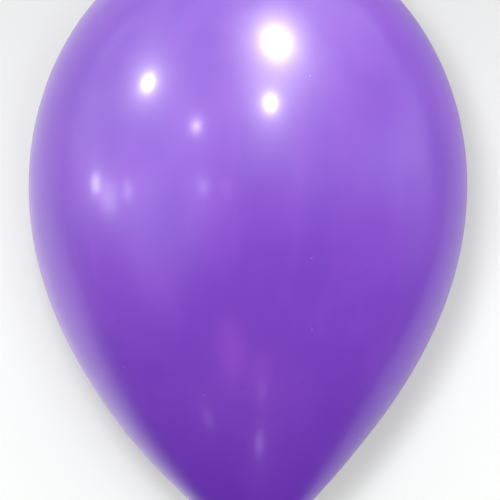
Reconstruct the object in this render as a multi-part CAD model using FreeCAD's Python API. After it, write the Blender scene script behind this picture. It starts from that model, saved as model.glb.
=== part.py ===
"""Inflated round latex balloon, tied with an overhand knot in its own neck.

The balloon stands on its vertical axis with the neck down. The origin is the
centre of the neck where it is tied off, just above the knot. +Z points to the
crown. All sizes are in millimetres.
"""
import FreeCAD, Part
import math
import os

# ---- inflated skin -------------------------------------------------------
EQUATOR_RADIUS = 150.0       # half of the widest diameter
EQUATOR_HEIGHT = 256.0       # widest level above the tie
CROWN_RISE = 176.7           # crown above the widest level
CONE_DROP = 254.0            # widest level to the point where the cone would close
SKIN_WALL = 0.3              # film thickness
TIP_RADIUS = 12.0            # thicker spot at the crown
TIP_WALL = 0.9

# ---- throat, where the film is gathered to the neck ------------------------
FLARE_RADIUS = 24.0          # the cone turns into the concave throat here
FLARE_TOP_PULL = 14.0        # how far the cone's direction holds into the throat
FLARE_BOTTOM_PULL = 5.0      # how far the neck's direction holds up into the throat
THROAT_RADIUS = 4.4
GATHER_TOP = 12.0            # height where the pleats fan out into plain film
GATHER_WALL = 1.2            # packed pleats at that height
GATHER_CLOSED = 4.0          # height below which the pleats fill the throat

# ---- flexing points along the neck -----------------------------------------
NECK_PIVOT = 0.0
KNOT_PIVOT = -7.0
TAIL_PIVOT = -19.0
BALL_RADIUS = 2.2            # rounded end of the narrower piece
CUP_RADIUS = 2.5             # hollow round it in the wider piece
PIVOT_GAP = 0.9              # wider piece ends this far from the pivot
STEM_RADIUS = 1.5

# ---- knot --------------------------------------------------------------------
CORE_RADIUS = 3.0            # strand through the middle of the knot
CORE_ROUND = 0.25
WRAP_RING_RADIUS = 4.7       # centre line of the strand round the outside
WRAP_HALF_THICK = 2.2
WRAP_HALF_HEIGHT = 3.6

# ---- tail and mouth ------------------------------------------------------------
MOUTH_RADIUS = 8.6           # inside radius of the open end
MOUTH_DEPTH = 8.0            # length of the straight open end
TAIL_LENGTH = 25.0           # tail pivot to the mouth
TAIL_STEM_LENGTH = 3.4
CUFF_WALL = 0.5
CUFF_HOLLOW = 15.0           # depth of the hollow, from the mouth
BEAD_RADIUS = 1.2            # rolled rim, radius of its section

FULL_TURN = 360.0            # degrees


def at(radius, height):
    """A point of a half outline in the plane of revolution."""
    return FreeCAD.Vector(radius, 0.0, height)


def line(start, end):
    """Straight edge between two points."""
    return Part.LineSegment(start, end).toShape()


def bezier(*poles):
    """Smooth edge that starts and ends at the first and last pole."""
    curve = Part.BezierCurve()
    curve.setPoles(list(poles))
    return curve.toShape()


def quarter_ellipse(radius, rise):
    """From the crown down to the widest level."""
    crown = at(0.0, EQUATOR_HEIGHT + rise)
    side = at(radius, EQUATOR_HEIGHT)
    ellipse = Part.Ellipse(crown, side, at(0.0, EQUATOR_HEIGHT))
    return Part.ArcOfEllipse(ellipse, 0.0, math.pi / 2.0).toShape()


def turned(edges):
    """Solid of revolution about the vertical axis."""
    face = Part.Face(Part.Wire(edges))
    return face.revolve(FreeCAD.Vector(0, 0, 0), FreeCAD.Vector(0, 0, 1), FULL_TURN)


def ball(radius, height):
    """Sphere on the axis."""
    return Part.makeSphere(radius, at(0.0, height))


def rod(radius, low, high):
    """Upright cylinder on the axis."""
    return Part.makeCylinder(radius, high - low, at(0.0, low))


def skin_form(inset):
    """The balloon's outer form, or the same form a film's thickness inside."""
    radius = EQUATOR_RADIUS - inset
    drop = CONE_DROP * math.sqrt(1.0 - FLARE_RADIUS / EQUATOR_RADIUS)
    slope = 2.0 * EQUATOR_RADIUS * drop / CONE_DROP ** 2
    tilt = math.atan(slope)
    cone_end = at(FLARE_RADIUS - inset * math.cos(tilt), EQUATOR_HEIGHT - drop + inset * math.sin(tilt))
    corner_height = cone_end.z + (radius - cone_end.x) / slope
    run = FLARE_TOP_PULL
    cone_pull = at(cone_end.x - run * math.sin(tilt), cone_end.z - run * math.cos(tilt))
    throat_radius = THROAT_RADIUS - inset
    throat = at(throat_radius, PIVOT_GAP)
    throat_pull = at(throat_radius, PIVOT_GAP + FLARE_BOTTOM_PULL)
    crown = at(0.0, EQUATOR_HEIGHT + CROWN_RISE - inset)
    foot = at(0.0, PIVOT_GAP)
    return turned([
        quarter_ellipse(radius, CROWN_RISE - inset),
        bezier(at(radius, EQUATOR_HEIGHT), at(radius, corner_height), cone_end),
        bezier(cone_end, cone_pull, throat_pull, throat),
        line(throat, foot),
        line(foot, crown),
    ])


def crown_zone():
    """Space that the thick spot at the crown takes."""
    return rod(TIP_RADIUS, EQUATOR_HEIGHT, EQUATOR_HEIGHT + 2.0 * CROWN_RISE)


def throat_zone():
    """Space below the level where the pleats fan out."""
    return rod(EQUATOR_RADIUS, 0.0, GATHER_TOP)


def make_envelope():
    """Seamless film from the pleats at the throat up to the thick spot at the crown."""
    film = skin_form(0.0).cut(skin_form(SKIN_WALL))
    return film.cut(throat_zone()).cut(crown_zone())


def make_crown_tip():
    """Thicker, less stretched spot at the crown."""
    return skin_form(0.0).cut(skin_form(TIP_WALL)).common(crown_zone())


def make_throat_gather():
    """Pleats that close the throat, solid at the neck and hollow towards the film."""
    plug = skin_form(0.0).common(throat_zone())
    hollow_radius = plug.BoundBox.XMax - GATHER_WALL
    funnel = Part.makeCone(0.0, hollow_radius, GATHER_TOP - GATHER_CLOSED, at(0.0, GATHER_CLOSED))
    return plug.cut(funnel).cut(ball(CUP_RADIUS, NECK_PIVOT))


def make_neck_stem():
    """Gathered film between the throat and the knot, rounded at both flexing points."""
    stem = rod(STEM_RADIUS, KNOT_PIVOT, NECK_PIVOT)
    stem = stem.fuse(ball(BALL_RADIUS, NECK_PIVOT)).fuse(ball(BALL_RADIUS, KNOT_PIVOT))
    return stem.removeSplitter()


def make_knot_core():
    """Strand through the middle of the overhand knot."""
    core = rod(CORE_RADIUS, TAIL_PIVOT + PIVOT_GAP, KNOT_PIVOT - PIVOT_GAP)
    core = core.makeFillet(CORE_ROUND, [edge for edge in core.Edges if is_circle(edge)])
    return core.cut(ball(CUP_RADIUS, KNOT_PIVOT)).cut(ball(CUP_RADIUS, TAIL_PIVOT))


def is_circle(edge):
    """Whether an edge is round, as the rod's two end edges are."""
    return isinstance(edge.Curve, Part.Circle)


def make_knot_wrap():
    """Strand that goes once round the outside of the knot."""
    middle = (KNOT_PIVOT + TAIL_PIVOT) / 2.0
    centre = at(WRAP_RING_RADIUS, middle)
    top = at(WRAP_RING_RADIUS, middle + WRAP_HALF_HEIGHT)
    side = at(WRAP_RING_RADIUS + WRAP_HALF_THICK, middle)
    ring = turned([Part.Ellipse(top, side, centre).toShape()])
    return ring.cut(rod(CORE_RADIUS, TAIL_PIVOT, KNOT_PIVOT))


def make_tail_cuff():
    """Free end of the neck below the knot, opening to the straight round mouth."""
    mouth = TAIL_PIVOT - TAIL_LENGTH
    outer = MOUTH_RADIUS + CUFF_WALL
    stem_end = at(STEM_RADIUS, TAIL_PIVOT - TAIL_STEM_LENGTH)
    shoulder = at(outer, mouth + MOUTH_DEPTH)
    ease = (stem_end.z - shoulder.z) / 2.0
    hollow_top = at(0.0, mouth + CUFF_HOLLOW)
    hollow_side = at(MOUTH_RADIUS, mouth + MOUTH_DEPTH)
    body = turned([
        line(at(0.0, TAIL_PIVOT), at(STEM_RADIUS, TAIL_PIVOT)),
        line(at(STEM_RADIUS, TAIL_PIVOT), stem_end),
        bezier(stem_end, at(STEM_RADIUS, stem_end.z - ease), at(outer, shoulder.z + ease), shoulder),
        line(shoulder, at(outer, mouth)),
        line(at(outer, mouth), at(MOUTH_RADIUS, mouth)),
        line(at(MOUTH_RADIUS, mouth), hollow_side),
        line(hollow_side, hollow_top),
        line(hollow_top, at(0.0, TAIL_PIVOT)),
    ])
    return body.fuse(ball(BALL_RADIUS, TAIL_PIVOT)).removeSplitter()


def make_rolled_rim():
    """Bead of rolled film round the outside of the mouth."""
    mouth = TAIL_PIVOT - TAIL_LENGTH
    centre = at(0.0, mouth + BEAD_RADIUS)
    bead = Part.makeTorus(MOUTH_RADIUS + BEAD_RADIUS, BEAD_RADIUS, centre)
    return bead.cut(rod(MOUTH_RADIUS + CUFF_WALL, mouth - BEAD_RADIUS, mouth + MOUTH_DEPTH))


PIECES = {
    "envelope": make_envelope,
    "crown_tip": make_crown_tip,
    "throat_gather": make_throat_gather,
    "neck_stem": make_neck_stem,
    "knot_core": make_knot_core,
    "knot_wrap": make_knot_wrap,
    "tail_cuff": make_tail_cuff,
    "rolled_rim": make_rolled_rim,
}

os.makedirs("parts", exist_ok=True)
for name, make in PIECES.items():
    shape = make()
    box = shape.BoundBox
    print(name, "solids", len(shape.Solids), "valid", shape.isValid(), "volume", round(shape.Volume, 2),
          "x", round(box.XMin, 2), round(box.XMax, 2), "z", round(box.ZMin, 2), round(box.ZMax, 2))
    shape.exportStep("parts/" + name + ".step")
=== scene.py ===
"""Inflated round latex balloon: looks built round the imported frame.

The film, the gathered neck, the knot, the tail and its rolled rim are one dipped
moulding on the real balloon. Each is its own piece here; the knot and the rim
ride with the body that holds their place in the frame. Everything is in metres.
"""

import logging
import math
from collections.abc import Iterable
from dataclasses import dataclass, field
from enum import Enum
from typing import ClassVar, NamedTuple

import bmesh
import bpy
from mathutils import Matrix, Vector

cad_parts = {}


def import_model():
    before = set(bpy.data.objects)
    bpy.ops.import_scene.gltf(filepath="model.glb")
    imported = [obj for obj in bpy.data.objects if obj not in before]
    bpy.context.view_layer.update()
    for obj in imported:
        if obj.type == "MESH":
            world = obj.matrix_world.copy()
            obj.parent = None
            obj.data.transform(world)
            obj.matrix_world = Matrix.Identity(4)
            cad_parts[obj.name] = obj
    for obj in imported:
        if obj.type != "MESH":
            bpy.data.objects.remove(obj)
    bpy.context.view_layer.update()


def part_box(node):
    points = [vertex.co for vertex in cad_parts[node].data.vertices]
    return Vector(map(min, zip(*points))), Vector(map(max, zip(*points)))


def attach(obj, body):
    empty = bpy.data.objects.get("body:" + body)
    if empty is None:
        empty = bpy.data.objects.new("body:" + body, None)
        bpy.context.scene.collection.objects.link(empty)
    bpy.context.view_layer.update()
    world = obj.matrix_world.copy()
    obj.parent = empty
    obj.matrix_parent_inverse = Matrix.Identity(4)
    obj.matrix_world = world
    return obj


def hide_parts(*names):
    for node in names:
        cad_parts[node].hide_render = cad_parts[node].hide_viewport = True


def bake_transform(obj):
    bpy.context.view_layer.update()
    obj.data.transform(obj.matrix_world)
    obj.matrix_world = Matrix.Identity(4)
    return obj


LOG = logging.getLogger("balloon")
MM = 0.001
UP = Vector((0.0, 0.0, 1.0))
MERGE = 1e-7             # points of a turned piece closer than this are one point
ON_AXIS = 1e-6           # radius below which a point counts as on the axis
TAIL_TUCK = 0.6 * MM     # how far the tail's top reaches up into the knot

Colour = tuple[float, float, float]
Outline = list[tuple[float, float]]
Mesh = bmesh.types.BMesh
Socket = bpy.types.NodeSocket
Sockets = bpy.types.bpy_prop_collection
Input = Socket | float | tuple | Vector


class Ramp(NamedTuple):
    """An eased change between two places, from the value at the low one to that at the high one."""

    low: float
    high: float
    start: float = 0.0
    end: float = 1.0


class Body(str, Enum):
    """Moving bodies of the frame."""

    SKIN = "skin"
    NECK = "neck"
    KNOT = "knot"
    TAIL = "tail"


class Slot(str, Enum):
    """Material slots of the record."""

    FILM = "film"
    GATHERED = "gathered_film"
    RELAXED = "relaxed_film"


# ---------------------------------------------------------------- shared shapes


def smooth(value: float, low: float, high: float) -> float:
    """Eased step from 0 at low to 1 at high.

    Args:
        value: Where the step is read.
        low: Value at which the step leaves 0.
        high: Value at which the step reaches 1.

    Returns:
        The eased step.
    """
    t = min(max((value - low) / (high - low), 0.0), 1.0)
    return t * t * (3.0 - 2.0 * t)


def dome(radius: float, edge: float, reach: float, steps: int = 6) -> Outline:
    """Rounded end of a turned piece, from just inside its edge to the axis.

    Args:
        radius: Radius where the dome starts.
        edge: Height where the dome starts.
        reach: How far the dome stands out, downward when negative.
        steps: Divisions from the edge to the axis.

    Returns:
        Radius and height of each point, ending on the axis.
    """
    angles = [math.pi / 2.0 * k / steps for k in range(1, steps)]
    points = [(radius * math.cos(a), edge + reach * math.sin(a)) for a in angles]
    return points + [(0.0, edge + reach)]


@dataclass(frozen=True)
class Creases:
    """Uneven pleats round a gathered neck, with rounded crests and sharp valleys."""

    wide_count: int = 7
    wide_turn: float = 0.4
    fine_count: int = 13
    fine_turn: float = 1.3
    fine_share: float = 0.6
    wander: float = 0.5

    def height(self, angle: float) -> float:
        """Height of the pleats at one place round the axis.

        Args:
            angle: Angle round the axis, in radians.

        Returns:
            About -1 in the deepest valley and 0.6 on the highest crest.
        """
        mean = 2.0 / math.pi
        wide = abs(math.sin(0.5 * self.wide_count * angle + self.wide_turn)) - mean
        drift = self.fine_turn + self.wander * math.sin(angle)
        fine = abs(math.sin(0.5 * self.fine_count * angle + drift)) - mean
        return wide + self.fine_share * fine


CREASES = Creases()


# ---------------------------------------------------------------- mesh helpers


def outline(mesh: Mesh, points: Outline) -> list[bmesh.types.BMEdge]:
    """Draws a half outline in the plane of revolution.

    Args:
        mesh: The mesh that gets the outline.
        points: Radius and height of each point, from the top down.

    Returns:
        The outline's edges.
    """
    verts = [mesh.verts.new((radius, 0.0, height)) for radius, height in points]
    return [mesh.edges.new(pair) for pair in zip(verts, verts[1:])]


def turn(mesh: Mesh, steps: int) -> None:
    """Spins everything drawn so far into a closed solid of revolution.

    Args:
        mesh: The mesh that holds the half outline.
        steps: Divisions of the full turn.
    """
    bmesh.ops.spin(
        mesh, geom=mesh.verts[:] + mesh.edges[:], cent=(0.0, 0.0, 0.0), axis=UP,
        angle=2.0 * math.pi, steps=steps, use_merge=True,
    )
    bmesh.ops.remove_doubles(mesh, verts=mesh.verts, dist=MERGE)
    bmesh.ops.recalc_face_normals(mesh, faces=mesh.faces)


def finished(mesh: Mesh, name: str) -> bpy.types.Object:
    """Turns a bmesh into a smooth-shaded object at the origin.

    Args:
        mesh: The finished bmesh, which is freed.
        name: Name of the piece.

    Returns:
        The new object, linked to the scene.
    """
    data = bpy.data.meshes.new(name)
    mesh.to_mesh(data)
    mesh.free()
    data.polygons.foreach_set("use_smooth", [True] * len(data.polygons))
    piece = bpy.data.objects.new(name, data)
    bpy.context.scene.collection.objects.link(piece)
    return piece


# ---------------------------------------------------------------- node helpers


@dataclass
class Nodes:
    """Short hand for building a node tree."""

    tree: bpy.types.NodeTree

    COLOUR_A: ClassVar[int] = 6
    COLOUR_B: ClassVar[int] = 7
    COLOUR_RESULT: ClassVar[int] = 2

    def add(self, kind: str, values: dict | None = None, **settings: object) -> bpy.types.Node:
        """Adds a node.

        Args:
            kind: Blender's name of the node type.
            values: Input sockets to set or to link, by name or index.
            settings: Properties of the node.

        Returns:
            The new node.
        """
        node = self.tree.nodes.new(kind)
        for key, value in settings.items():
            setattr(node, key, value)
        for key, value in (values or {}).items():
            self.feed(node.inputs[key], value)
        return node

    def feed(self, socket: Socket, value: Input) -> None:
        """Links a socket to another one, or sets its constant.

        Args:
            socket: The input socket.
            value: An output socket, a number, a vector or a colour.
        """
        if isinstance(value, Socket):
            self.tree.links.new(value, socket)
        elif isinstance(value, tuple) and len(value) == 3 and socket.type == "RGBA":
            socket.default_value = (*value, 1.0)
        else:
            socket.default_value = value

    def maths(self, operation: str, first: Input, second: Input) -> Socket:
        """Adds a Math node and returns its output."""
        return self.add("ShaderNodeMath", {0: first, 1: second}, operation=operation).outputs[0]

    def ease(self, value: Input, ramp: Ramp) -> Socket:
        """Maps a value along a ramp that is eased at both ends.

        Args:
            value: The value, as a socket.
            ramp: Where the change starts and ends, and the values there.

        Returns:
            The mapped value.
        """
        node = self.add(
            "ShaderNodeMapRange",
            {"Value": value, "From Min": ramp.low, "From Max": ramp.high,
             "To Min": ramp.start, "To Max": ramp.end},
            interpolation_type="SMOOTHSTEP",
        )
        return node.outputs["Result"]

    def mix(self, factor: Input, first: Input, second: Input) -> Socket:
        """Mixes two colours.

        Args:
            factor: Share of the second colour.
            first: A colour or a socket.
            second: A colour or a socket.

        Returns:
            The mixed colour.
        """
        node = self.add("ShaderNodeMix", data_type="RGBA")
        self.feed(node.inputs["Factor"], factor)
        self.feed(node.inputs[self.COLOUR_A], first)
        self.feed(node.inputs[self.COLOUR_B], second)
        return node.outputs[self.COLOUR_RESULT]

    def split(self, vector: Socket) -> Sockets:
        """Splits a vector and returns its X, Y and Z outputs."""
        return self.add("ShaderNodeSeparateXYZ", {0: vector}).outputs

    def placed(self, group: bpy.types.NodeTree, values: dict) -> Socket:
        """Places a node group with its own values.

        Args:
            group: The node group.
            values: Input sockets to set or to link, by name.

        Returns:
            The group's first output.
        """
        node = self.add("ShaderNodeGroup", node_tree=group)
        for key, value in values.items():
            self.feed(node.inputs[key], value)
        return node.outputs[0]


def new_group(name: str, inputs: dict[str, str], output: str) -> tuple[Nodes, dict, Socket]:
    """Starts a shader node group with named sockets and one value that it puts out.

    Args:
        name: Name of the group.
        inputs: Socket name to socket kind, Float or Vector.
        output: Name of the value that the group puts out.

    Returns:
        The node helper, the group's input sockets by name and the socket for its output.
    """
    tree = bpy.data.node_groups.new(name, "ShaderNodeTree")
    for label, kind in inputs.items():
        tree.interface.new_socket(name=label, in_out="INPUT", socket_type="NodeSocket" + kind)
    tree.interface.new_socket(name=output, in_out="OUTPUT", socket_type="NodeSocketFloat")
    nodes = Nodes(tree)
    source = nodes.add("NodeGroupInput")
    sink = nodes.add("NodeGroupOutput")
    return nodes, {label: source.outputs[label] for label in inputs}, sink.inputs[output]


def new_material(name: str) -> tuple[bpy.types.Material, Nodes]:
    """Starts an empty node material.

    Args:
        name: Name of the material.

    Returns:
        The material and the helper for its nodes.
    """
    material = bpy.data.materials.new(name)
    material.use_nodes = True
    material.node_tree.nodes.clear()
    return material, Nodes(material.node_tree)


# ---------------------------------------------------------------- shared effects


@dataclass
class Effects:
    """Node groups that every latex finish shares."""

    contrast: Ramp = Ramp(0.3, 0.7)
    cloud_detail: float = 3.0
    cloud_roughness: float = 0.45
    run_fineness: float = 4.0
    run_squash: float = 0.12
    run_detail: float = 2.0
    noise_mean: float = 0.5
    speck_edge: Ramp = Ramp(0.0, 0.6)
    wave_detail: float = 1.0
    grain_fineness: float = 30.0
    grain_detail: float = 2.0
    film_depth: bpy.types.NodeTree = field(init=False)
    flow: bpy.types.NodeTree = field(init=False)
    specks: bpy.types.NodeTree = field(init=False)
    ripple: bpy.types.NodeTree = field(init=False)

    def __post_init__(self) -> None:
        """Builds the groups once."""
        self.film_depth = self.make_film_depth()
        self.flow = self.make_flow()
        self.specks = self.make_specks()
        self.ripple = self.make_ripple()

    def make_film_depth(self) -> bpy.types.NodeTree:
        """Mask of thick, little-stretched film near the neck and at the top.

        Returns:
            The node group.
        """
        inputs = {"Vector": "Vector", "Neck Low": "Float", "Neck High": "Float",
                  "Top Low": "Float", "Top High": "Float"}
        nodes, taken, depth = new_group("Film depth", inputs, "Depth")
        height = nodes.split(taken["Vector"])["Z"]
        neck = nodes.add(
            "ShaderNodeMapRange",
            {"Value": height, "From Min": taken["Neck Low"], "From Max": taken["Neck High"],
             "To Min": 1.0, "To Max": 0.0},
            interpolation_type="SMOOTHERSTEP",
        )
        top = nodes.add(
            "ShaderNodeMapRange",
            {"Value": height, "From Min": taken["Top Low"], "From Max": taken["Top High"]},
            interpolation_type="SMOOTHERSTEP",
        )
        nodes.feed(depth, nodes.maths("MAXIMUM", neck.outputs["Result"], top.outputs["Result"]))
        return nodes.tree

    def make_flow(self) -> bpy.types.NodeTree:
        """Mask of soft clouds and faint upright runs that the film keeps from its dip.

        Returns:
            The node group.
        """
        inputs = {"Vector": "Vector", "Cloud Size": "Float", "Run Amount": "Float"}
        nodes, taken, mask = new_group("Dip flow", inputs, "Mask")
        scale = nodes.maths("DIVIDE", 1.0, taken["Cloud Size"])
        cloud = nodes.add("ShaderNodeTexNoise", {
            "Vector": taken["Vector"], "Scale": scale, "Detail": self.cloud_detail,
            "Roughness": self.cloud_roughness})
        upright = nodes.add("ShaderNodeMapping", {
            "Vector": taken["Vector"], "Scale": (1.0, 1.0, self.run_squash)})
        fine = nodes.maths("MULTIPLY", scale, self.run_fineness)
        runs = nodes.add("ShaderNodeTexNoise", {
            "Vector": upright.outputs[0], "Scale": fine, "Detail": self.run_detail})
        swing = nodes.maths("SUBTRACT", runs.outputs[0], self.noise_mean)
        both = nodes.maths("ADD", cloud.outputs[0], nodes.maths("MULTIPLY", swing, taken["Run Amount"]))
        nodes.feed(mask, nodes.ease(both, self.contrast))
        return nodes.tree

    def make_specks(self) -> bpy.types.NodeTree:
        """Mask of a few tiny round specks of dust and undissolved pigment.

        Returns:
            The node group.
        """
        inputs = {"Vector": "Vector", "Spacing": "Float", "Size": "Float", "Share": "Float"}
        nodes, taken, mask = new_group("Specks", inputs, "Mask")
        scale = nodes.maths("DIVIDE", 1.0, taken["Spacing"])
        cells = nodes.add("ShaderNodeTexVoronoi", {"Vector": taken["Vector"], "Scale": scale})
        reach = nodes.maths("MULTIPLY", taken["Size"], scale)
        inside = nodes.maths("SUBTRACT", 1.0, nodes.maths("DIVIDE", cells.outputs["Distance"], reach))
        dot = nodes.ease(inside, self.speck_edge)
        draw = nodes.add("ShaderNodeSeparateColor", {0: cells.outputs["Color"]}).outputs[0]
        chosen = nodes.maths("LESS_THAN", draw, taken["Share"])
        nodes.feed(mask, nodes.maths("MULTIPLY", dot, chosen))
        return nodes.tree

    def make_ripple(self) -> bpy.types.NodeTree:
        """Height of the film's slow waviness and its fine grain.

        Returns:
            The node group.
        """
        inputs = {"Vector": "Vector", "Wave Size": "Float", "Grain Amount": "Float"}
        nodes, taken, height = new_group("Ripple", inputs, "Height")
        scale = nodes.maths("DIVIDE", 1.0, taken["Wave Size"])
        wave = nodes.add("ShaderNodeTexNoise", {
            "Vector": taken["Vector"], "Scale": scale, "Detail": self.wave_detail})
        fine = nodes.maths("MULTIPLY", scale, self.grain_fineness)
        grain = nodes.add("ShaderNodeTexNoise", {
            "Vector": taken["Vector"], "Scale": fine, "Detail": self.grain_detail})
        weighted = nodes.maths("MULTIPLY", grain.outputs[0], taken["Grain Amount"])
        nodes.feed(height, nodes.maths("ADD", wave.outputs[0], weighted))
        return nodes.tree


# ---------------------------------------------------------------- finishes


@dataclass(frozen=True)
class LatexFinish:
    """Glossy pigmented latex, stretched above and relaxed at the neck and the top, with painted shade that
    deepens its colour on the lower side.
    """

    name: str
    stretched: Colour = (0.196, 0.040, 0.566)
    cloudy: Colour = (0.230, 0.046, 0.600)
    # painted shade: the cone colour is the deeper, darker colour of the shaded lower side
    cone: Colour = (0.138, 0.011, 0.470)
    relaxed: Colour = (0.085, 0.016, 0.330)
    relaxed_cloudy: Colour = (0.108, 0.021, 0.385)
    # heights over which the painted shade of the lower side gives way to the stretched colour
    lower_shade_band: Ramp = Ramp(0.0, 0.205)
    neck_band: Ramp = Ramp(-0.005, 0.045)
    top_band: Ramp = Ramp(0.4311, 0.4328)
    cloud_size: float = 0.07
    run_amount: float = 0.5
    pale_speck: Colour = (0.55, 0.38, 0.95)
    pale_spacing: float = 0.017
    pale_size: float = 0.0008
    pale_share: float = 0.16
    pale_strength: float = 0.35
    dark_speck: Colour = (0.05, 0.010, 0.20)
    dark_spacing: float = 0.010
    dark_size: float = 0.00072
    dark_share: float = 0.32
    dark_strength: float = 0.6
    roughness: Ramp = Ramp(0.0, 1.0, 0.38, 0.42)
    refraction: float = 1.45
    specular: float = 0.55
    coat: float = 0.55
    coat_roughness: float = 0.18
    coat_refraction: float = 1.42
    wave_size: float = 0.05
    wave_height: float = 0.00012
    grain: float = 0.02

    def tint(self, nodes: Nodes, effects: Effects, place: Socket,
             flow: Socket) -> Socket:
        """Colour of the film: paler where it is stretched, deeper and darker below the widest part as
        painted shade, with clouds and specks.

        Args:
            nodes: The material's nodes.
            effects: The shared node groups.
            place: Place on the object.
            flow: Mask of the clouds.

        Returns:
            The colour.
        """
        depth = nodes.placed(effects.film_depth, {
            "Vector": place, "Neck Low": self.neck_band.low, "Neck High": self.neck_band.high,
            "Top Low": self.top_band.low, "Top High": self.top_band.high})
        pale = nodes.placed(effects.specks, {
            "Vector": place, "Spacing": self.pale_spacing, "Size": self.pale_size,
            "Share": self.pale_share})
        dark = nodes.placed(effects.specks, {
            "Vector": place, "Spacing": self.dark_spacing, "Size": self.dark_size,
            "Share": self.dark_share})
        # painted shade: the film turns to the darker cone colour toward the bottom
        above = nodes.ease(nodes.split(place)["Z"], self.lower_shade_band)
        tint = nodes.mix(above, self.cone, nodes.mix(flow, self.stretched, self.cloudy))
        tint = nodes.mix(depth, tint, nodes.mix(flow, self.relaxed, self.relaxed_cloudy))
        tint = nodes.mix(nodes.maths("MULTIPLY", dark, self.dark_strength), tint, self.dark_speck)
        return nodes.mix(nodes.maths("MULTIPLY", pale, self.pale_strength), tint, self.pale_speck)

    def material(self, effects: Effects) -> bpy.types.Material:
        """Builds the material.

        Args:
            effects: The shared node groups.

        Returns:
            The new material.
        """
        material, nodes = new_material(self.name)
        place = nodes.add("ShaderNodeTexCoord").outputs["Object"]
        flow = nodes.placed(effects.flow, {
            "Vector": place, "Cloud Size": self.cloud_size, "Run Amount": self.run_amount})
        height = nodes.placed(effects.ripple, {
            "Vector": place, "Wave Size": self.wave_size, "Grain Amount": self.grain})
        bump = nodes.add("ShaderNodeBump", {
            "Height": height, "Strength": 1.0, "Distance": self.wave_height})
        shader = nodes.add("ShaderNodeBsdfPrincipled", {
            "Base Color": self.tint(nodes, effects, place, flow),
            "Roughness": nodes.ease(flow, self.roughness),
            "Normal": bump.outputs[0],
            "IOR": self.refraction,
            "Specular IOR Level": self.specular,
            "Coat Weight": self.coat,
            "Coat Roughness": self.coat_roughness,
            "Coat IOR": self.coat_refraction})
        out = nodes.add("ShaderNodeOutputMaterial")
        nodes.feed(out.inputs["Surface"], shader.outputs[0])
        return material


@dataclass(frozen=True)
class Paint:
    """Matt paint with a faint unevenness, and painted shade that may darken it with height."""

    name: str
    colour: Colour
    # painted shade: share of the colour reached with height, darker toward the top
    top_shade: Ramp = Ramp(0.0, 1.0, 1.0, 1.0)
    patch_scale: float = 3.0
    patch_share: float = 0.97
    roughness: float = 0.9

    def shader(self, nodes: Nodes) -> bpy.types.Node:
        """Adds the paint's shader.

        Args:
            nodes: The material's nodes.

        Returns:
            The shader node.
        """
        place = nodes.add("ShaderNodeTexCoord").outputs["Object"]
        patches = nodes.add("ShaderNodeTexNoise", {"Vector": place, "Scale": self.patch_scale}).outputs[0]
        darker = tuple(self.patch_share * part for part in self.colour)
        # painted shade: the colour darkens with height between the ramp's low and high places
        top_shaded = tuple(self.top_shade.end * part for part in self.colour)
        rise = nodes.ease(nodes.split(place)["Z"], Ramp(self.top_shade.low, self.top_shade.high))
        tint = nodes.mix(rise, nodes.mix(patches, darker, self.colour), top_shaded)
        return nodes.add("ShaderNodeBsdfPrincipled", {"Base Color": tint, "Roughness": self.roughness})

    def surface(self, nodes: Nodes) -> Socket:
        """The paint as it is seen."""
        return self.shader(nodes).outputs[0]

    def material(self) -> bpy.types.Material:
        """Builds the material.

        Returns:
            The new material.
        """
        material, nodes = new_material(self.name)
        out = nodes.add("ShaderNodeOutputMaterial")
        nodes.feed(out.inputs["Surface"], self.surface(nodes))
        return material


@dataclass(frozen=True)
class BoardPaint(Paint):
    """Board's paint: dimmer in the gloss to the right and low down, and clear from behind."""

    dim_right: Ramp = Ramp(-0.05, 0.14, 0.0, 0.42)
    dim_low: Ramp = Ramp(-0.22, -0.02, 0.85, 0.0)
    dim_colour: Colour = (0.04, 0.04, 0.04)

    def surface(self, nodes: Nodes) -> Socket:
        """The paint as it is seen by the camera and in the balloon's gloss.

        Args:
            nodes: The material's nodes.

        Returns:
            The finished shader's output.
        """
        paint = self.shader(nodes)
        path = nodes.add("ShaderNodeLightPath").outputs
        place = nodes.split(nodes.add("ShaderNodeTexCoord").outputs["Object"])
        dimming = nodes.maths("MAXIMUM", nodes.ease(place["X"], self.dim_right),
                              nodes.ease(place["Z"], self.dim_low))
        in_gloss = nodes.maths("MULTIPLY", path["Is Glossy Ray"], dimming)
        dim = nodes.add("ShaderNodeBsdfDiffuse", {"Color": self.dim_colour})
        dimmed = nodes.add("ShaderNodeMixShader", {0: in_gloss, 1: paint.outputs[0], 2: dim.outputs[0]})
        behind = nodes.add("ShaderNodeNewGeometry").outputs["Backfacing"]
        from_behind = nodes.maths("MULTIPLY", behind, path["Is Camera Ray"])
        clear = nodes.add("ShaderNodeBsdfTransparent")
        return nodes.add("ShaderNodeMixShader", {
            0: from_behind, 1: dimmed.outputs[0], 2: clear.outputs[0]}).outputs[0]


# ---------------------------------------------------------------- the balloon


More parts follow.
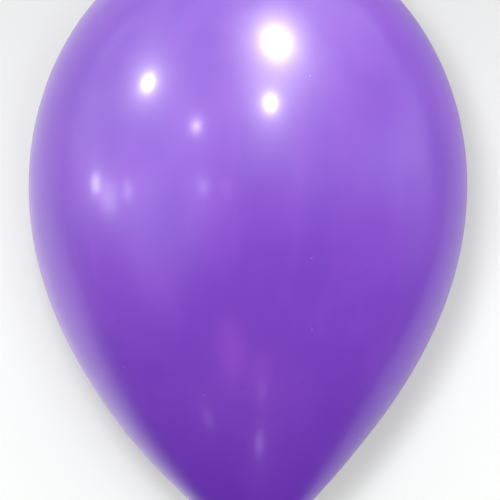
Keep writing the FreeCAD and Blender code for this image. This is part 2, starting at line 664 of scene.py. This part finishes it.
@dataclass
class Film:
    """The inflated skin, from its thick spot at the top down to the gathered throat."""

    radius: float
    top: float
    equator: float = 256.0 * MM
    cone_drop: float = 254.0 * MM
    flare_radius: float = 24.0 * MM
    flare_top_pull: float = 15.0 * MM
    flare_bottom_pull: float = 9.0 * MM
    neck_radius: float = 2.5 * MM
    end: float = -4.2 * MM
    end_dome: float = 0.8 * MM
    lean: float = 4.0 * MM
    lean_height: float = 90.0 * MM
    pleats: Ramp = Ramp(4.5 * MM, 30.0 * MM, 0.16, 0.0)
    tip_rise: float = 0.7 * MM
    tip_spread: float = 7.0 * MM
    upper_rows: int = 70
    lower_rows: int = 90
    throat_rows: int = 36
    turn_steps: int = 288

    def half_outline(self) -> Outline:
        """Half ellipse above the widest level, then the cone, the throat and the closed end.

        Returns:
            Radius and height of each point, from the top down.
        """
        rise = self.top - self.equator
        quarter = math.pi / 2.0 / self.upper_rows
        upper = [(self.radius * math.sin(k * quarter), self.equator + rise * math.cos(k * quarter))
                 for k in range(self.upper_rows)]
        drop = self.cone_drop * math.sqrt(1.0 - self.flare_radius / self.radius)
        steps = [drop * k / self.lower_rows for k in range(self.lower_rows)]
        lower = [(self.radius * (1.0 - (step / self.cone_drop) ** 2), self.equator - step)
                 for step in steps]
        return upper + lower + self.throat(drop)

    def throat(self, drop: float) -> Outline:
        """Hollow curve from the cone into the neck, and the closed end below it.

        Args:
            drop: Distance from the widest level to where the cone ends.

        Returns:
            Radius and height of each point.
        """
        slope = 2.0 * self.radius * drop / self.cone_drop ** 2
        along = Vector((-slope, -1.0)).normalized()
        start = Vector((self.flare_radius, self.equator - drop))
        foot = Vector((self.neck_radius, self.end))
        first = start + along * self.flare_top_pull
        second = foot + Vector((0.0, self.flare_bottom_pull))
        points = []
        for k in range(self.throat_rows + 1):
            t = k / self.throat_rows
            u = 1.0 - t
            point = start * u ** 3 + first * 3.0 * t * u * u + second * 3.0 * t * t * u + foot * t ** 3
            points.append((point.x, point.y))
        return points + dome(self.neck_radius, self.end, -self.end_dome)

    def shape(self, mesh: Mesh) -> None:
        """Adds the lean, the pleats at the throat and the small rise at the top.

        Args:
            mesh: The turned skin.
        """
        for vert in mesh.verts:
            x, y, z = vert.co
            radius = math.hypot(x, y)
            if radius > ON_AXIS:
                depth = self.pleats.start * (1.0 - smooth(z, self.pleats.low, self.pleats.high))
                grow = 1.0 + depth * CREASES.height(math.atan2(y, x))
                x, y = x * grow, y * grow
            if z > self.equator:
                z += self.tip_rise * math.exp(-(radius / self.tip_spread) ** 2)
            vert.co = (x - self.lean * smooth(z, 0.0, self.lean_height), y, z)

    def build(self) -> bpy.types.Object:
        """Makes the piece and hides the parts that it stands for.

        Returns:
            The piece.
        """
        mesh = bmesh.new()
        outline(mesh, self.half_outline())
        turn(mesh, self.turn_steps)
        self.shape(mesh)
        piece = finished(mesh, "inflated_film")
        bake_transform(piece)
        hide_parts("envelope", "crown_tip", "throat_gather")
        return piece


@dataclass
class NeckGather:
    """Gathered neck between the throat and the knot."""

    radius: float
    top: float = -4.2 * MM
    bottom: float = -9.4 * MM
    end_dome: float = 0.8 * MM
    waist: float = 0.86
    bottom_share: float = 0.84
    narrows_from: float = 0.6
    pleat_depth: float = 0.16
    pleated_above: float = -4.7 * MM
    rows: int = 30
    turn_steps: int = 168

    def radius_at(self, t: float) -> float:
        """Radius from the top at t of 0, through the waist, to the bottom at 1."""
        waisted = 1.0 - (1.0 - self.waist) * math.sin(math.pi * t)
        return self.radius * waisted * (1.0 - (1.0 - self.bottom_share) * smooth(t, self.narrows_from, 1.0))

    def half_outline(self) -> Outline:
        """The waist with a rounded end above and below it.

        Returns:
            Radius and height of each point, from the top down.
        """
        points = list(reversed(dome(self.radius, self.top, self.end_dome)))
        for k in range(self.rows + 1):
            t = k / self.rows
            points.append((self.radius_at(t), self.top + (self.bottom - self.top) * t))
        return points + dome(self.radius_at(1.0), self.bottom, -self.end_dome)

    def build(self) -> bpy.types.Object:
        """Makes the piece and hides the part that it stands for.

        Returns:
            The piece.
        """
        mesh = bmesh.new()
        outline(mesh, self.half_outline())
        turn(mesh, self.turn_steps)
        for vert in mesh.verts:
            depth = self.pleat_depth * smooth(vert.co.z, self.bottom, self.pleated_above)
            grow = 1.0 + depth * CREASES.height(math.atan2(vert.co.y, vert.co.x))
            vert.co.x *= grow
            vert.co.y *= grow
        piece = finished(mesh, "neck_gather")
        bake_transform(piece)
        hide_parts("neck_stem")
        return piece


class StrandPoint(NamedTuple):
    """A point of the knotted strand: its place round the axis and its share of the full thickness."""

    radius: float
    degrees: float
    height: float
    thickness: float


@dataclass
class Knot:
    """Overhand knot that the neck is tied in: down the middle, once round the outside, out below."""

    top: float
    bottom: float
    strand: float = 2.05 * MM
    wrap_radius: float = 4.6 * MM
    core_radius: float = 1.5 * MM
    overrun: float = 1.2 * MM
    bevel_steps: int = 12
    path_steps: int = 14
    path_order: int = 4
    merge: float = 1e-6

    def route(self) -> list[StrandPoint]:
        """Way of the strand through the knot.

        Returns:
            The strand's points in order, from the neck to the tail.
        """
        middle = (self.top + self.bottom) / 2.0
        half = (self.top - self.bottom) / 2.0
        core, wrap = self.core_radius, self.wrap_radius
        return [
            StrandPoint(0.0, 0.0, self.top + self.overrun, 0.80),
            StrandPoint(0.4 * core, 20.0, middle + 0.75 * half, 0.98),
            StrandPoint(core, 40.0, middle + 0.25 * half, 0.95),
            StrandPoint(core, 60.0, middle - 0.30 * half, 0.95),
            StrandPoint(0.75 * wrap, 85.0, middle - 0.62 * half, 1.0),
            StrandPoint(wrap, 130.0, middle - 0.55 * half, 1.1),
            StrandPoint(wrap, 185.0, middle - 0.30 * half, 1.15),
            StrandPoint(wrap, 240.0, middle - 0.02 * half, 1.15),
            StrandPoint(wrap, 295.0, middle + 0.26 * half, 1.15),
            StrandPoint(wrap, 350.0, middle + 0.48 * half, 1.1),
            StrandPoint(0.80 * wrap, 400.0, middle + 0.55 * half, 1.0),
            StrandPoint(core, 440.0, middle + 0.25 * half, 0.95),
            StrandPoint(core, 460.0, middle - 0.30 * half, 0.95),
            StrandPoint(0.4 * core, 480.0, middle - 0.8 * half, 0.98),
            StrandPoint(0.0, 500.0, self.bottom - self.overrun, 0.80),
        ]

    def strand_mesh(self) -> Mesh:
        """Round strand along the route, with closed ends.

        Returns:
            The strand's mesh.
        """
        curve = bpy.data.curves.new("knot_path", "CURVE")
        curve.dimensions = "3D"
        curve.bevel_depth = self.strand
        curve.bevel_resolution = self.bevel_steps
        curve.use_fill_caps = True
        spline = curve.splines.new("NURBS")
        route = self.route()
        spline.points.add(len(route) - 1)
        for point, step in zip(spline.points, route):
            angle = math.radians(step.degrees)
            point.co = (step.radius * math.cos(angle), step.radius * math.sin(angle), step.height, 1.0)
            point.radius = step.thickness
        spline.order_u = self.path_order
        spline.use_endpoint_u = True
        spline.resolution_u = self.path_steps
        holder = bpy.data.objects.new("knot_path", curve)
        mesh = bmesh.new()
        mesh.from_mesh(bpy.data.meshes.new_from_object(holder))
        bpy.data.objects.remove(holder)
        bpy.data.curves.remove(curve)
        return mesh

    def build(self) -> bpy.types.Object:
        """Makes the piece and lets it ride on the knot.

        Returns:
            The piece.
        """
        mesh = self.strand_mesh()
        bmesh.ops.remove_doubles(mesh, verts=mesh.verts, dist=self.merge)
        bmesh.ops.recalc_face_normals(mesh, faces=mesh.faces)
        piece = finished(mesh, "overhand_knot")
        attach(piece, Body.KNOT.value)
        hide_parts("knot_core", "knot_wrap")
        return piece


@dataclass
class Tail:
    """Free end of the neck below the knot, with its rolled rim."""

    top: float
    mouth: float
    rim_radius: float
    neck_radius: float = 2.4 * MM
    wall: float = 0.45 * MM
    bead: float = 1.2 * MM
    bead_steps: int = 28
    bead_lift: float = 0.4
    top_dome: float = 1.1 * MM
    hollow_tip: float = 3.0 * MM
    hollow_from: float = 4.8 * MM
    flare_share: float = 0.80
    flare_end: float = 0.80
    squeeze: float = 0.4125
    squeeze_skew: float = 0.8
    spread: float = 0.35
    pleat_depth: float = 0.15
    pleat_rise: Ramp = Ramp(-0.03, 0.08)
    pleat_fall: Ramp = Ramp(0.15, 1.0)
    wave: float = 1.3 * MM
    wave_reach: Ramp = Ramp(0.3, 1.0)
    two_lobe_turn: float = 0.6
    three_lobe_turn: float = 2.0
    three_lobe_share: float = 0.5
    wave_out: float = 0.25
    wave_up: float = 0.6
    rows: int = 60
    turn_steps: int = 192

    def radius_at(self, t: float) -> float:
        """Radius of the tail, from its top at t of 0 to the mouth at 1."""
        widening = self.flare_share * smooth(t, 0.0, self.flare_end) + (1.0 - self.flare_share) * t
        return self.neck_radius + (self.rim_radius - self.bead - self.neck_radius) * widening

    def bend_at(self, t: float, angle: float) -> float:
        """Wave of the mouth, in two and three uneven lobes, fading toward the knot.

        Args:
            t: Place along the tail, 0 at its top and 1 at the mouth.
            angle: Angle round the axis, in radians.

        Returns:
            How far the film is bent out of its round shape.
        """
        two_lobes = math.sin(2.0 * angle + self.two_lobe_turn)
        three_lobes = math.sin(3.0 * angle + self.three_lobe_turn)
        reach = smooth(t, self.wave_reach.low, self.wave_reach.high)
        return self.wave * reach * (two_lobes + self.three_lobe_share * three_lobes)

    def pleat_at(self, t: float, angle: float) -> float:
        """How much the pleats widen the tail, strongest just below the knot.

        Args:
            t: Place along the tail, 0 at its top and 1 at the mouth.
            angle: Angle round the axis, in radians.

        Returns:
            The share by which the radius grows.
        """
        risen = smooth(t, self.pleat_rise.low, self.pleat_rise.high)
        fallen = smooth(t, self.pleat_fall.low, self.pleat_fall.high)
        return self.pleat_depth * CREASES.height(angle) * (1.0 - fallen) * risen

    def drape(self, mesh: Mesh) -> None:
        """Flattens the tail between finger and thumb, pleats it and waves its mouth.

        Args:
            mesh: The turned tail or rim.
        """
        length = self.top - self.mouth
        for vert in mesh.verts:
            x, y, z = vert.co
            t = (self.top - z) / length
            angle = math.atan2(y, x)
            inside = min(max(t, 0.0), 1.0)
            pinch = self.squeeze * math.sin(math.pi * inside ** self.squeeze_skew)
            pleat = 1.0 + self.pleat_at(t, angle)
            bend = self.bend_at(t, angle)
            x *= pleat * (1.0 + self.spread * pinch)
            y = y * pleat * (1.0 - pinch) + self.wave_out * bend
            vert.co = (x, y, z + self.wave_up * bend)

    def half_outline(self) -> Outline:
        """The wall's outline: outside from the top down, then back up the inside.

        Returns:
            Radius and height of each point.
        """
        length = self.top - self.mouth
        down = [(self.radius_at(k / self.rows), self.top - length * k / self.rows)
                for k in range(self.rows + 1)]
        up = [(radius - self.wall, height) for radius, height in reversed(down)
              if radius > self.hollow_from]
        start = list(reversed(dome(self.neck_radius, self.top, self.top_dome)))
        return start + down + up + [(0.0, up[-1][1] + self.hollow_tip)]

    def build(self) -> list[bpy.types.Object]:
        """Makes the tail and its rim, and lets the rim ride on the tail.

        Returns:
            The tail and the rim.
        """
        mesh = bmesh.new()
        outline(mesh, self.half_outline())
        turn(mesh, self.turn_steps)
        self.drape(mesh)
        tail = finished(mesh, "tail")
        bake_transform(tail)
        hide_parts("tail_cuff")
        return [tail, self.build_rim()]

    def build_rim(self) -> bpy.types.Object:
        """Bead of film rolled up round the mouth.

        Returns:
            The rim.
        """
        mesh = bmesh.new()
        middle = (self.rim_radius - self.bead, 0.0, self.mouth + self.bead_lift * self.bead)
        placed = Matrix.Translation(middle) @ Matrix.Rotation(math.radians(90.0), 4, "X")
        bmesh.ops.create_circle(
            mesh, cap_ends=False, segments=self.bead_steps, radius=self.bead, matrix=placed)
        turn(mesh, self.turn_steps)
        self.drape(mesh)
        rim = finished(mesh, "rolled_rim_bead")
        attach(rim, Body.TAIL.value)
        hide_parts("rolled_rim")
        return rim


# ---------------------------------------------------------------- studio


class LampKind(Enum):
    """What a lamp looks like and what it lights."""

    ROUND = "seen in the gloss, round"
    SQUARE = "seen in the gloss, square"
    BOARD_ONLY = "lights the board alone, past the balloon"


@dataclass(frozen=True)
class Lamp:
    """A soft lamp, placed by its direction from the balloon's middle.

    Azimuth counts from the front toward the right and elevation upward, both in degrees.
    """

    name: str
    azimuth: float
    elevation: float
    distance: float
    width: float
    height: float
    radiance: float
    colour: Colour = (1.0, 1.0, 1.0)
    kind: LampKind = LampKind.ROUND

    def light(self) -> bpy.types.AreaLight:
        """The lamp's shape, colour and power.

        Returns:
            The light's data.
        """
        light = bpy.data.lights.new(self.name, "AREA")
        is_round = self.kind is LampKind.ROUND
        light.shape = "ELLIPSE" if is_round else "RECTANGLE"
        light.size, light.size_y = self.width, self.height
        area = self.width * self.height * (math.pi / 4.0 if is_round else 1.0)
        light.energy = self.radiance * math.pi * area
        light.color = self.colour
        return light

    def place(self, centre: Vector, board: bpy.types.Object) -> bpy.types.Object:
        """Adds the lamp, aimed at the balloon.

        Args:
            centre: The point that the lamp looks at.
            board: The board that a board lamp lights.

        Returns:
            The lamp.
        """
        lamp = bpy.data.objects.new(self.name, self.light())
        az, el = math.radians(self.azimuth), math.radians(self.elevation)
        toward = Vector((math.sin(az) * math.cos(el), -math.cos(az) * math.cos(el), math.sin(el)))
        lamp.location = centre + toward * self.distance
        lamp.rotation_euler = toward.to_track_quat("Z", "Y").to_euler()
        lamp.visible_camera = False
        lamp.visible_diffuse = self.kind is LampKind.BOARD_ONLY
        lamp.visible_glossy = self.kind is not LampKind.BOARD_ONLY
        bpy.context.scene.collection.objects.link(lamp)
        if self.kind is LampKind.BOARD_ONLY:
            lit = bpy.data.collections.new("lit_by_" + self.name)
            lit.objects.link(board)
            lamp.light_linking.receiver_collection = lit
        return lamp


WARM = (1.0, 0.88, 0.95)
BLUISH = (0.75, 0.8, 1.0)
PINK = (1.0, 0.7, 0.85)
DEEP_PINK = (1.0, 0.25, 0.6)
PALE_PINK = (1.0, 0.7, 0.95)
ROSE = (1.0, 0.5, 0.8)
DAYLIGHT = (0.845, 0.85, 1.0)

LAMPS = [
    Lamp("ceiling_lamp", 20.6, 53.5, 1.345, 0.155, 0.165, 410.0),
    Lamp("second_ceiling_lamp", 11.6, 29.1, 1.348, 0.060, 0.070, 720.0),
    Lamp("left_ceiling_lamp", -58.3, 33.5, 1.33, 0.055, 0.055, 900.0),
    Lamp("far_ceiling_lamp", -25.9, 20.3, 1.345, 0.015, 0.02, 2300.0, WARM),
    Lamp("window_bright_edge", -79.5, 1.0, 1.31, 0.045, 0.12, 85.0),
    Lamp("window", -71.5, -3.0, 1.31, 0.20, 0.18, 9.0, kind=LampKind.SQUARE),
    Lamp("side_window", -60.0, -1.5, 1.31, 0.04, 0.11, 42.0),
    Lamp("front_glint_blue", -21.2, -0.5, 1.34, 0.05, 0.10, 44.0, BLUISH),
    Lamp("front_glint_pink", -10.8, -1.2, 1.34, 0.09, 0.12, 7.0, PINK),
    Lamp("low_glow_left", -12.0, -51.0, 0.60, 0.10, 0.18, 3.0, DEEP_PINK),
    Lamp("low_glow_right", 9.0, -57.0, 0.55, 0.06, 0.12, 1.8, DEEP_PINK),
    Lamp("low_glint_middle", 15.5, -74.0, 0.46, 0.015, 0.03, 16.0, PALE_PINK),
    Lamp("low_glint_left", -44.0, -66.0, 0.50, 0.015, 0.025, 13.0, PALE_PINK),
    Lamp("low_glint_upper", 11.5, -61.5, 0.50, 0.015, 0.03, 11.0, ROSE),
    Lamp("board_lamp", -3.6, 3.0, 1.25, 0.16, 0.16, 154.0, DAYLIGHT, LampKind.BOARD_ONLY),
    Lamp("board_side_lamp", 4.5, 3.0, 1.25, 0.20, 0.20, 26.0, DAYLIGHT, LampKind.BOARD_ONLY),
]


@dataclass(frozen=True)
class Surroundings:
    """The room's light: an even light for matt surfaces and a patchy one for the gloss."""

    matt_above: Ramp = Ramp(-0.1, 1.0, 0.92, 1.55)
    matt_across: Ramp = Ramp(-1.0, 1.0, 0.94, 1.08)
    matt_behind: Ramp = Ramp(-0.3, 0.9, 1.0, 0.62)
    gloss_above: Ramp = Ramp(-0.50, 0.25, 0.06, 1.9)
    gloss_patches: Ramp = Ramp(0.3, 0.7, 0.55, 1.45)
    patch_scale: float = 3.0
    patch_detail: float = 2.0
    left_wall: tuple[float, float, float] = (-0.75, -0.65, -0.10)
    left_wall_glow: Ramp = Ramp(0.80, 1.0, 0.0, 4.0)
    side_dims: Ramp = Ramp(0.18, 0.42)
    side_brightens: Ramp = Ramp(0.60, 0.85)
    side_shade: float = 0.7
    light_colour: Colour = (0.97, 0.98, 1.0)
    backdrop: Colour = (0.90, 0.91, 0.92)

    def matt(self, nodes: Nodes, place: Sockets) -> Socket:
        """Strength of the light on matt surfaces: more from above and from the front.

        Args:
            nodes: The world's nodes.
            place: The direction's three parts.

        Returns:
            The strength.
        """
        above = nodes.ease(place["Z"], self.matt_above)
        across = nodes.ease(place["X"], self.matt_across)
        behind = nodes.ease(place["Y"], self.matt_behind)
        return nodes.maths("MULTIPLY", above, nodes.maths("MULTIPLY", across, behind))

    def gloss(self, nodes: Nodes, way: Socket,
              place: Sockets) -> Socket:
        """Strength of the light seen in the gloss: a patchy room, a bright left wall, dimmer sides.

        Args:
            nodes: The world's nodes.
            way: The direction.
            place: The direction's three parts.

        Returns:
            The strength.
        """
        even = nodes.ease(place["Z"], self.gloss_above)
        patches = nodes.add("ShaderNodeTexNoise", {
            "Vector": way, "Scale": self.patch_scale, "Detail": self.patch_detail}).outputs[0]
        uneven = nodes.maths("MULTIPLY", even, nodes.ease(patches, self.gloss_patches))
        left = Vector(self.left_wall).normalized()
        toward_wall = nodes.add("ShaderNodeVectorMath", {0: way, 1: left}, operation="DOT_PRODUCT")
        wall = nodes.ease(toward_wall.outputs["Value"], self.left_wall_glow)
        room = nodes.maths("ADD", uneven, nodes.maths("MULTIPLY", wall, patches))
        beside = nodes.maths("SUBTRACT", nodes.ease(place["Y"], self.side_dims),
                             nodes.ease(place["Y"], self.side_brightens))
        open_side = nodes.maths("SUBTRACT", 1.0, nodes.maths("MULTIPLY", beside, self.side_shade))
        return nodes.maths("MULTIPLY", room, open_side)

    def build(self) -> None:
        """Makes the world, with a plain pale backdrop where the camera looks past the studio."""
        world = bpy.data.worlds.new("studio_surroundings")
        bpy.context.scene.world = world
        world.use_nodes = True
        world.node_tree.nodes.clear()
        nodes = Nodes(world.node_tree)
        way = nodes.add("ShaderNodeTexCoord").outputs["Generated"]
        place = nodes.split(way)
        path = nodes.add("ShaderNodeLightPath").outputs
        strength = nodes.add("ShaderNodeMix", {
            0: path["Is Glossy Ray"], 2: self.matt(nodes, place), 3: self.gloss(nodes, way, place)})
        light = nodes.add("ShaderNodeBackground", {
            "Color": self.light_colour, "Strength": strength.outputs[0]})
        plain = nodes.add("ShaderNodeBackground", {"Color": self.backdrop, "Strength": 1.0})
        both = nodes.add("ShaderNodeMixShader", {
            0: path["Is Camera Ray"], 1: light.outputs[0], 2: plain.outputs[0]})
        out = nodes.add("ShaderNodeOutputWorld")
        nodes.feed(out.inputs["Surface"], both.outputs[0])


@dataclass
class Studio:
    """Pale floor, pale board close behind the balloon, soft lamps and the camera."""

    centre: Vector
    aim_across: float = -2.6 * MM
    aim_height: float = 212.4 * MM
    camera_distance: float = 1.5
    lens: float = 157.2
    floor_height: float = -0.22
    floor_size: float = 8.0
    board_gap: float = 0.17
    board_left: float = -0.75
    board_right: float = 0.48
    board_top: float = 1.3
    floor_paint: Paint = Paint("floor_paint", (0.74, 0.74, 0.75))
    # the board's paint carries painted shade that darkens it toward its top
    board_paint: Paint = BoardPaint("board_paint", (0.662, 0.675, 0.590), Ramp(0.14, 0.46, 1.0, 0.76))

    def board(self) -> bpy.types.Object:
        """White board behind the balloon, which shades nothing and throws no light back.

        Returns:
            The board.
        """
        mesh = bmesh.new()
        bmesh.ops.create_grid(mesh, x_segments=1, y_segments=1, size=1.0)
        half_height = (self.board_top - self.floor_height) / 2.0
        half_width = (self.board_right - self.board_left) / 2.0
        bmesh.ops.scale(mesh, vec=(half_width, half_height, 1.0), verts=mesh.verts)
        bmesh.ops.rotate(mesh, matrix=Matrix.Rotation(math.radians(90.0), 3, "X"), verts=mesh.verts)
        across = (self.board_right + self.board_left) / 2.0
        middle = (self.floor_height + self.board_top) / 2.0
        bmesh.ops.translate(mesh, vec=(across, self.board_gap, middle), verts=mesh.verts)
        board = finished(mesh, "backdrop_board")
        board.data.materials.append(self.board_paint.material())
        board.visible_diffuse = False
        board.visible_shadow = False
        return board

    def floor(self) -> bpy.types.Object:
        """Plain pale floor, left out of the gloss.

        Returns:
            The floor.
        """
        mesh = bmesh.new()
        bmesh.ops.create_grid(mesh, x_segments=1, y_segments=1, size=self.floor_size / 2.0)
        bmesh.ops.translate(mesh, vec=(0.0, 0.0, self.floor_height), verts=mesh.verts)
        floor = finished(mesh, "studio_floor")
        floor.data.materials.append(self.floor_paint.material())
        floor.visible_glossy = False
        return floor

    def camera(self) -> None:
        """Level camera in front of the balloon, a little below its middle."""
        data = bpy.data.cameras.new("camera")
        data.lens = self.lens
        camera = bpy.data.objects.new("camera", data)
        camera.location = (self.aim_across, -self.camera_distance, self.aim_height)
        camera.rotation_euler = (math.radians(90.0), 0.0, 0.0)
        bpy.context.scene.collection.objects.link(camera)
        bpy.context.scene.camera = camera

    def build(self) -> None:
        """Sets up everything round the balloon."""
        self.floor()
        board = self.board()
        Surroundings().build()
        self.camera()
        for lamp in LAMPS:
            lamp.place(self.centre, board)
        bpy.context.scene.view_settings.view_transform = "Standard"


# ---------------------------------------------------------------- the whole scene


def main() -> None:
    """Builds the balloon and its studio, piece by piece."""
    logging.basicConfig(level=logging.INFO, format="%(message)s")
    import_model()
    low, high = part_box("envelope")
    knot_low, knot_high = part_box("knot_core")
    rim_low, rim_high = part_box("rolled_rim")
    film = Film(radius=(high[0] - low[0]) / 2.0, top=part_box("crown_tip")[1][2])
    effects = Effects()
    skin = film.build()
    skin.data.materials.append(LatexFinish("inflated latex").material(effects))
    LOG.info("%s done: %d faces", skin.name, len(skin.data.polygons))
    gather = NeckGather(film.neck_radius).build()
    knot = Knot(top=knot_high[2], bottom=knot_low[2]).build()
    tail = Tail(top=knot_low[2] + TAIL_TUCK, mouth=rim_low[2], rim_radius=rim_high[0]).build()
    slack = LatexFinish("relaxed latex", cloud_size=0.008, coat_roughness=0.19, wave_size=0.004,
                        wave_height=0.00006).material(effects)
    for piece in [gather, knot, *tail]:
        piece.data.materials.append(slack)
        LOG.info("%s done: %d faces", piece.name, len(piece.data.polygons))
    Studio(centre=Vector((0.0, 0.0, film.equator))).build()


if __name__ == "__main__":
    main()
